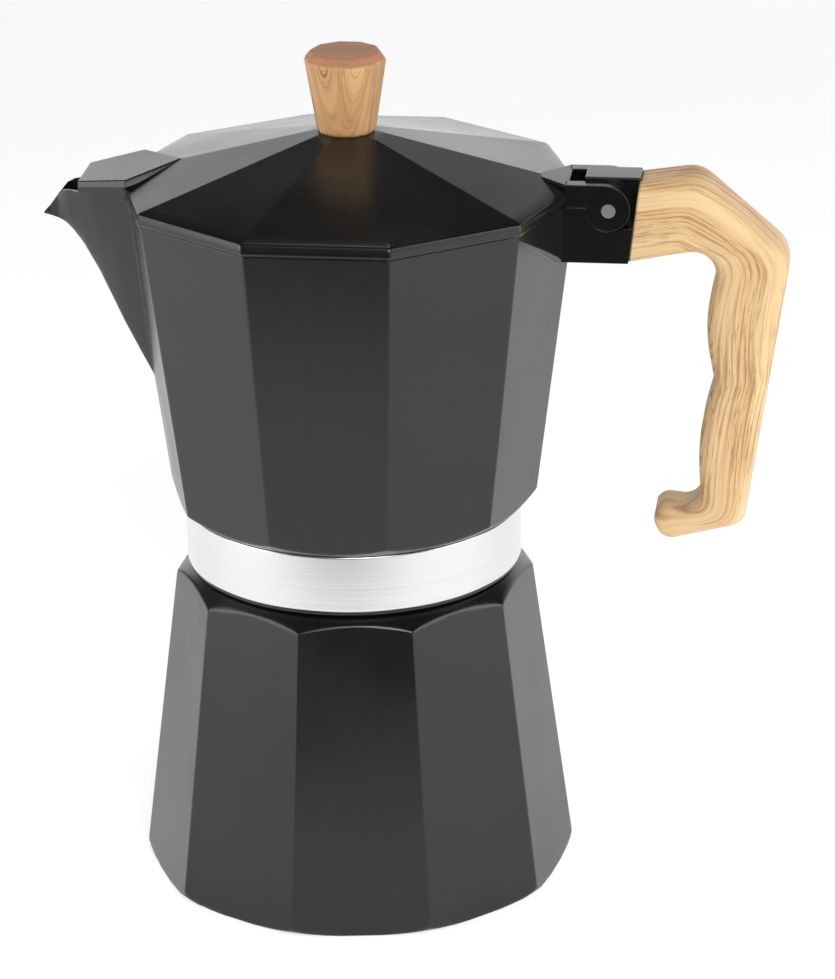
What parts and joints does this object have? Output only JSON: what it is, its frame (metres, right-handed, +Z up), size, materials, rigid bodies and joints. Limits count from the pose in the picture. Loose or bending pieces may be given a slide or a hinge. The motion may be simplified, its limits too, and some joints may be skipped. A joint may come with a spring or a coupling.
{
  "type": "moka pot",
  "caption": "Stove-top espresso maker with a faceted black boiler, screwed-on faceted upper vessel with V spout, hinged lid, wood-look knob and hook-ended bar handle.",
  "frame": {"origin": "centre of the underside of the boiler, on the stove", "axes": "+Z up, +X towards the handle, the spout is on -X"},
  "size_m": [0.1757, 0.1034, 0.203],
  "materials": {
    "black_coat": "satin black coat on cast aluminium",
    "band_steel": "polished steel",
    "handle_print": "heat-proof plastic with a pale wood print",
    "knob_print": "heat-proof plastic with a brown wood print",
    "brass": "turned brass",
    "steel": "turned steel",
    "bare_aluminium": "pressed aluminium",
    "seal_rubber": "pale food-grade rubber",
    "fibre": "pressed fibre"
  },
  "bodies": {
    "boiler_assembly": {"boiler": "black_coat", "valve_body": "brass", "valve_washer": "fibre", "valve_retainer": "brass"},
    "valve": {"valve_stem": "brass", "valve_spring": "steel"},
    "funnel": {"coffee_funnel": "bare_aluminium", "funnel_plate": "bare_aluminium"},
    "seal": {"gasket": "seal_rubber", "filter_plate": "bare_aluminium"},
    "upper_assembly": {"upper_vessel": "black_coat", "collar_band": "band_steel", "hinge_pin": "steel", "handle": "handle_print", "handle_screw": "steel"},
    "lid_assembly": {"lid": "black_coat", "lid_knob": "knob_print", "knob_washer": "steel", "knob_screw": "steel"}
  },
  "joints": [
    {"name": "upper_lift", "type": "slide", "parent": "boiler_assembly", "child": "seal", "axis": [0, 0, 1], "range_m": [0, 0.00931]},
    {"name": "upper_turn", "type": "hinge", "parent": "seal", "child": "upper_assembly", "pos_m": [0, 0, 0.0835], "axis": [0, 0, 1], "range_deg": [0, 1116]},
    {"name": "funnel_lift", "type": "slide", "parent": "boiler_assembly", "child": "funnel", "axis": [0, 0, 1], "range_m": [0, 0.00745]},
    {"name": "lid_hinge", "type": "hinge", "parent": "upper_assembly", "child": "lid_assembly", "pos_m": [0.0617, 0, 0.16826], "axis": [0, 1, 0], "range_deg": [0, 90]},
    {"name": "valve_slide", "type": "slide", "parent": "boiler_assembly", "child": "valve", "axis": [-0.14, 0.9901, 0], "range_m": [0, 0.0012], "stiffness_N_per_m": 300, "springref_m": -0.005}
  ],
  "couplings": [
    {"joint": "upper_lift", "follows": "upper_turn", "m_per_rad": 0.00047746},
    {"joint": "funnel_lift", "follows": "upper_turn", "m_per_rad": 0.00038197}
  ]
}
